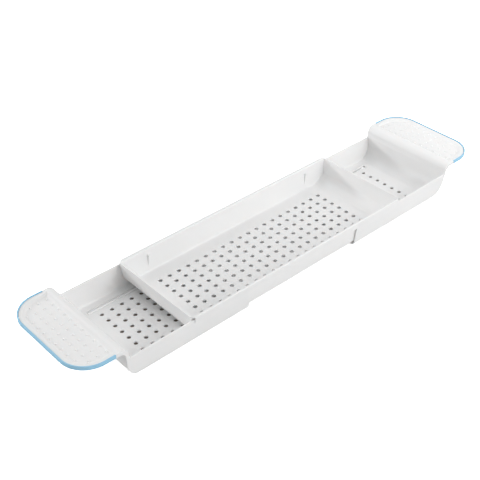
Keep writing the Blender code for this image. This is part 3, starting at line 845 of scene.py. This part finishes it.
def make_drift():
    """A slow drift between two colours, and the same drift as a mask."""
    group, given, result = new_group(
        "moulding_drift",
        [("Colour A", "NodeSocketColor", (1, 1, 1, 1)),
         ("Colour B", "NodeSocketColor", (1, 1, 1, 1)), ("Scale", "NodeSocketFloat", 12.0)],
        [("Colour", "NodeSocketColor"), ("Mask", "NodeSocketFloat")])
    texture = noise(group, given.outputs["Scale"], 2.0)
    mix = group.nodes.new("ShaderNodeMix")
    mix.data_type = "RGBA"
    group.links.new(texture.outputs["Fac"], mix.inputs["Factor"])
    group.links.new(given.outputs["Colour A"], mix.inputs["A"])
    group.links.new(given.outputs["Colour B"], mix.inputs["B"])
    group.links.new(mix.outputs["Result"], result.inputs["Colour"])
    group.links.new(texture.outputs["Fac"], result.inputs["Mask"])
    return group


def make_spark():
    """The mould's fine texture as a height, from a fine noise."""
    group, given, result = new_group(
        "mould_spark", [("Scale", "NodeSocketFloat", 900.0)], [("Height", "NodeSocketFloat")])
    texture = noise(group, given.outputs["Scale"], 3.0)
    group.links.new(texture.outputs["Fac"], result.inputs["Height"])
    return group


drift_group = make_drift()
spark_group = make_spark()
print("node groups:", drift_group.name, spark_group.name)

# %% The two plastics
COOL_WHITE = (0.860, 0.862, 0.862, 1)
WARM_WHITE = (0.880, 0.878, 0.874, 1)
DEEP_BLUE = (0.27, 0.57, 0.79, 1)
PALE_BLUE = (0.36, 0.65, 0.84, 1)
DRIFT_SCALE = 14.0
GLOSS_DRIFT = 0.04
SPARK_STRENGTH = 0.25
PLASTIC_IOR = 1.49
SOFT_LIGHT_RADIUS = (1.0, 0.9, 0.85)
SOFT_LIGHT_DEPTH = 0.002


def place_group(tree, group, **values):
    """A node group placed in a material with that material's own values."""
    node = tree.nodes.new("ShaderNodeGroup")
    node.node_tree = group
    for label, value in values.items():
        node.inputs[label.replace("_", " ")].default_value = value
    return node


def plastic(name, first, second, roughness, spark_scale, spark_depth, soft_light):
    """A moulded plastic with drift in colour and gloss, and the mould's fine texture."""
    made = bpy.data.materials.new(name)
    made.use_nodes = True
    tree = made.node_tree
    shader = tree.nodes["Principled BSDF"]
    drift = place_group(tree, drift_group, Colour_A=first, Colour_B=second,
                        Scale=DRIFT_SCALE)
    spark = place_group(tree, spark_group, Scale=spark_scale)
    gloss = tree.nodes.new("ShaderNodeMapRange")
    gloss.inputs["To Min"].default_value = roughness - GLOSS_DRIFT
    gloss.inputs["To Max"].default_value = roughness + GLOSS_DRIFT
    bump = tree.nodes.new("ShaderNodeBump")
    bump.inputs["Strength"].default_value = SPARK_STRENGTH
    bump.inputs["Distance"].default_value = spark_depth
    tree.links.new(drift.outputs["Colour"], shader.inputs["Base Color"])
    tree.links.new(drift.outputs["Mask"], gloss.inputs["Value"])
    tree.links.new(gloss.outputs["Result"], shader.inputs["Roughness"])
    tree.links.new(spark.outputs["Height"], bump.inputs["Height"])
    tree.links.new(bump.outputs["Normal"], shader.inputs["Normal"])
    shader.inputs["IOR"].default_value = PLASTIC_IOR
    shader.inputs["Subsurface Weight"].default_value = soft_light
    shader.inputs["Subsurface Radius"].default_value = SOFT_LIGHT_RADIUS
    shader.inputs["Subsurface Scale"].default_value = SOFT_LIGHT_DEPTH
    return made


white_plastic = plastic("white_plastic", COOL_WHITE, WARM_WHITE, roughness=0.42,
                        spark_scale=900.0, spark_depth=0.00004, soft_light=0.3)
blue_plastic = plastic("blue_plastic", DEEP_BLUE, PALE_BLUE, roughness=0.45,
                       spark_scale=1200.0, spark_depth=0.00003, soft_light=0.0)
print("materials:", white_plastic.name, blue_plastic.name)

# %% [markdown]
# ## Placing the pieces
# Each finished mesh moves to its place, takes its finish, and is shaded smooth except
# across sharp edges. Weighted normals keep the wide flat faces flat to the eye where a
# narrow bevel meets them. Then it rides on its body and stands for its CAD node.

# %% Place, smooth and finish each piece
SMOOTH_TURN = 38.0
FACE_WEIGHT = 80


def finish_piece(piece, body, node, finish, turn, along):
    """Moves a mesh to its place, gives it its finish and hands it to its body."""
    mesh = piece.data
    mesh.transform(Matrix.Translation((along, 0.0, 0.0)) @ Matrix.Rotation(turn, 4, "Z"))
    mesh.materials.clear()
    mesh.materials.append(finish)
    mesh.shade_smooth()
    mesh.set_sharp_from_angle(angle=math.radians(SMOOTH_TURN))
    workshop.objects.unlink(piece)
    bpy.context.scene.collection.objects.link(piece)
    weighted = piece.modifiers.new("weighted_normals", "WEIGHTED_NORMAL")
    weighted.keep_sharp = True
    weighted.weight = FACE_WEIGHT
    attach(piece, body)
    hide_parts(node)
    print(piece.name, "rides on", body, "faces:", len(mesh.polygons))


finish_piece(tray, "tray", "center_tray", white_plastic, 0.0, TRAY_X)
finish_piece(left_arm, "left_arm", "left_arm", white_plastic, math.pi, LEFT_ARM_X)
finish_piece(right_arm, "right_arm", "right_arm", white_plastic, 0.0, RIGHT_ARM_X)
finish_piece(left_grip, "left_arm", "left_grip", blue_plastic, math.pi, LEFT_ARM_X)
finish_piece(right_grip, "right_arm", "right_grip", blue_plastic, 0.0, RIGHT_ARM_X)
bpy.data.collections.remove(workshop)

# %% [markdown]
# ## The floor
# The caddy lies on a plain white floor. The camera sees the floor brighter than it lights
# the caddy, which keeps the background white, and gloss sees it as plain white. Close
# under a drain hole the floor is almost covered. There, within a band along the caddy's
# middle line, an ambient occlusion mask paints shade into the floor's colour for the camera.
# Light Path tells the rays apart.

# %% Colours of the floor and helpers for its nodes
SEEN_FLOOR = (2.5, 2.5, 2.5, 1)
# Painted shade: the dark brown the camera sees on the floor close under a drain hole.
PAINTED_HOLE_SHADE = (0.21, 0.18, 0.155, 1)
LIT_FLOOR = (0.75, 0.75, 0.75, 1)
REFLECTED_FLOOR = (0.95, 0.95, 0.95, 1)
HOLE_COVER = 0.004
HOLE_BAND = 0.050
BAND_BLUR = 0.002
COVERED = 0.75
OPEN = 0.97


def mask(tree, low, high):
    """A value turned into a mask that runs from 0 at low to 1 at high."""
    made = tree.nodes.new("ShaderNodeMapRange")
    made.inputs["From Min"].default_value = low
    made.inputs["From Max"].default_value = high
    return made


def blend(tree, first, second):
    """A Mix node that runs from the first colour to the second."""
    made = tree.nodes.new("ShaderNodeMix")
    made.data_type = "RGBA"
    made.inputs["A"].default_value = first
    made.inputs["B"].default_value = second
    return made


def math_node(tree, operation, first, second):
    """A Math node fed by two sockets."""
    made = tree.nodes.new("ShaderNodeMath")
    made.operation = operation
    tree.links.new(first, made.inputs[0])
    tree.links.new(second, made.inputs[1])
    return made.outputs["Value"]


def view_rays(tree):
    """Two masks: rays from the camera, and rays that gloss or glass sends on."""
    path = tree.nodes.new("ShaderNodeLightPath")
    sent_on = math_node(tree, "MAXIMUM", path.outputs["Is Glossy Ray"],
                        path.outputs["Is Transmission Ray"])
    return path.outputs["Is Camera Ray"], sent_on


print("floor colours:", SEEN_FLOOR[0], LIT_FLOOR[0], REFLECTED_FLOOR[0])

# %% The floor and its paint, with painted shade under the holes
FLOOR_REACH = 8.0
FLOOR_HEIGHT = -0.0005


def floor_paint_with_hole_shade():
    """White paint that is bright to the camera, with painted shade close under a drain hole."""
    paint = bpy.data.materials.new("floor_white_with_painted_shade")
    paint.use_nodes = True
    tree = paint.node_tree
    tree.nodes.remove(tree.nodes["Principled BSDF"])
    matt = tree.nodes.new("ShaderNodeBsdfDiffuse")
    cover = tree.nodes.new("ShaderNodeAmbientOcclusion")
    cover.inputs["Distance"].default_value = HOLE_COVER
    place = tree.nodes.new("ShaderNodeTexCoord")
    split = tree.nodes.new("ShaderNodeSeparateXYZ")
    across = tree.nodes.new("ShaderNodeMath")
    across.operation = "ABSOLUTE"
    # The ambient occlusion and the band along the middle make the mask of the painted shade.
    open_sky = mask(tree, COVERED, OPEN)
    beside = mask(tree, HOLE_BAND, HOLE_BAND + BAND_BLUR)
    free_of_painted_shade = math_node(tree, "MAXIMUM", open_sky.outputs["Result"], beside.outputs["Result"])
    # Painted shade: where the mask is closed, the camera sees the dark colour instead of the
    # bright floor.
    seen = blend(tree, PAINTED_HOLE_SHADE, SEEN_FLOOR)
    plain = blend(tree, LIT_FLOOR, REFLECTED_FLOOR)
    colour = blend(tree, LIT_FLOOR, SEEN_FLOOR)
    from_camera, sent_on = view_rays(tree)
    tree.links.new(place.outputs["Object"], split.inputs["Vector"])
    tree.links.new(split.outputs["Y"], across.inputs[0])
    tree.links.new(across.outputs["Value"], beside.inputs["Value"])
    tree.links.new(cover.outputs["AO"], open_sky.inputs["Value"])
    tree.links.new(free_of_painted_shade, seen.inputs["Factor"])
    tree.links.new(seen.outputs["Result"], colour.inputs["B"])
    tree.links.new(sent_on, plain.inputs["Factor"])
    tree.links.new(plain.outputs["Result"], colour.inputs["A"])
    tree.links.new(from_camera, colour.inputs["Factor"])
    tree.links.new(colour.outputs["Result"], matt.inputs["Color"])
    tree.links.new(matt.outputs["BSDF"], tree.nodes["Material Output"].inputs["Surface"])
    return paint


def make_floor():
    """A wide flat floor that belongs to the stage and not to the caddy."""
    shape = bmesh.new()
    bmesh.ops.create_grid(shape, x_segments=1, y_segments=1, size=FLOOR_REACH)
    mesh = bpy.data.meshes.new("floor")
    shape.to_mesh(mesh)
    shape.free()
    made = bpy.data.objects.new("floor", mesh)
    made.location = (0.0, 0.0, FLOOR_HEIGHT)
    bpy.context.scene.collection.objects.link(made)
    mesh.materials.append(floor_paint_with_hole_shade())
    return made


floor = make_floor()
print("floor at", floor.location[2])

# %% [markdown]
# ## Light
# A plain white room gives a little light from everywhere, and wide lamps do the rest: one
# high in front, one low in front, two behind, one low at the left and one high at the
# right. Two lamps are small, and so their shadows are crisp. The back lamp stands low at
# the far left, so the back walls throw the diagonal shade on the ends. The key lamp near
# the right end does the same with the right neck.

# %% The white room and the lamps
ROOM_LIGHT = 0.32
LAMP_DISTANCE = 2.5


def make_room():
    """An even white world: dim as a lamp, white to the camera, to gloss and to glass."""
    world = bpy.data.worlds.new("white_room")
    world.use_nodes = True
    tree = world.node_tree
    background = tree.nodes["Background"]
    mix = tree.nodes.new("ShaderNodeMix")
    mix.data_type = "FLOAT"
    mix.inputs["A"].default_value = ROOM_LIGHT
    mix.inputs["B"].default_value = 1.0
    background.inputs["Color"].default_value = (1, 1, 1, 1)
    tree.links.new(math_node(tree, "MAXIMUM", *view_rays(tree)), mix.inputs["Factor"])
    tree.links.new(mix.outputs["Result"], background.inputs["Strength"])
    bpy.context.scene.world = world
    return world


def lamp(name, toward, strength, size, distance=LAMP_DISTANCE):
    """A square lamp that stands in the direction given and looks at the caddy."""
    data = bpy.data.lights.new(name, "AREA")
    data.energy = strength
    data.shape = "SQUARE"
    data.size = size
    made = bpy.data.objects.new(name, data)
    way = Vector(toward).normalized()
    made.location = way * distance
    made.rotation_euler = way.to_track_quat("Z", "Y").to_euler()
    made.visible_camera = False
    bpy.context.scene.collection.objects.link(made)
    return made


room = make_room()
lamps = [lamp("key_lamp", (0.72, -0.17, 0.35), 0.34, 0.03, 0.82),
         lamp("right_lamp", (0.60, -0.10, 0.80), 1.25, 0.4, 1.0),
         lamp("top_lamp", (-0.10, 0.70, 1.0), 10.5, 1.0),
         lamp("front_lamp", (0.25, -1.0, 0.80), 18.5, 1.2),
         lamp("low_lamp", (0.35, -1.0, 0.30), 7.0, 1.4, 1.6),
         lamp("left_lamp", (-1.0, -0.2, 0.14), 7.0, 1.2),
         lamp("back_lamp", (-0.90, 1.0, 0.34), 15.0, 0.25),
         lamp("far_lamp", (-0.30, 1.0, 0.45), 10.0, 1.2)]
print("lamps:", [made.name for made in lamps])

# %% [markdown]
# ## Camera
# The view was worked out from the two grids of drain holes: a camera well back, with a
# lens of 70 mm on a 36 mm sensor, looks down at 37 degrees from the left front.

# %% The camera at the photograph's angle
SENSOR_WIDTH = 36.0
LENS = 70.04
CAMERA_PLACE = (TRAY_X - 0.7270, -0.7498, 0.7984)
LOOK_DOWN = 36.65
LOOK_ROUND = -42.20
camera_data = bpy.data.cameras.new("camera")
camera_data.sensor_width = SENSOR_WIDTH
camera_data.lens = LENS
camera = bpy.data.objects.new("camera", camera_data)
camera.location = CAMERA_PLACE
camera.rotation_euler = (math.radians(90.0 - LOOK_DOWN), 0.0, math.radians(LOOK_ROUND))
bpy.context.scene.collection.objects.link(camera)
bpy.context.scene.camera = camera
bpy.context.scene.view_settings.view_transform = "Standard"
print("camera at", [round(value, 3) for value in camera.location])
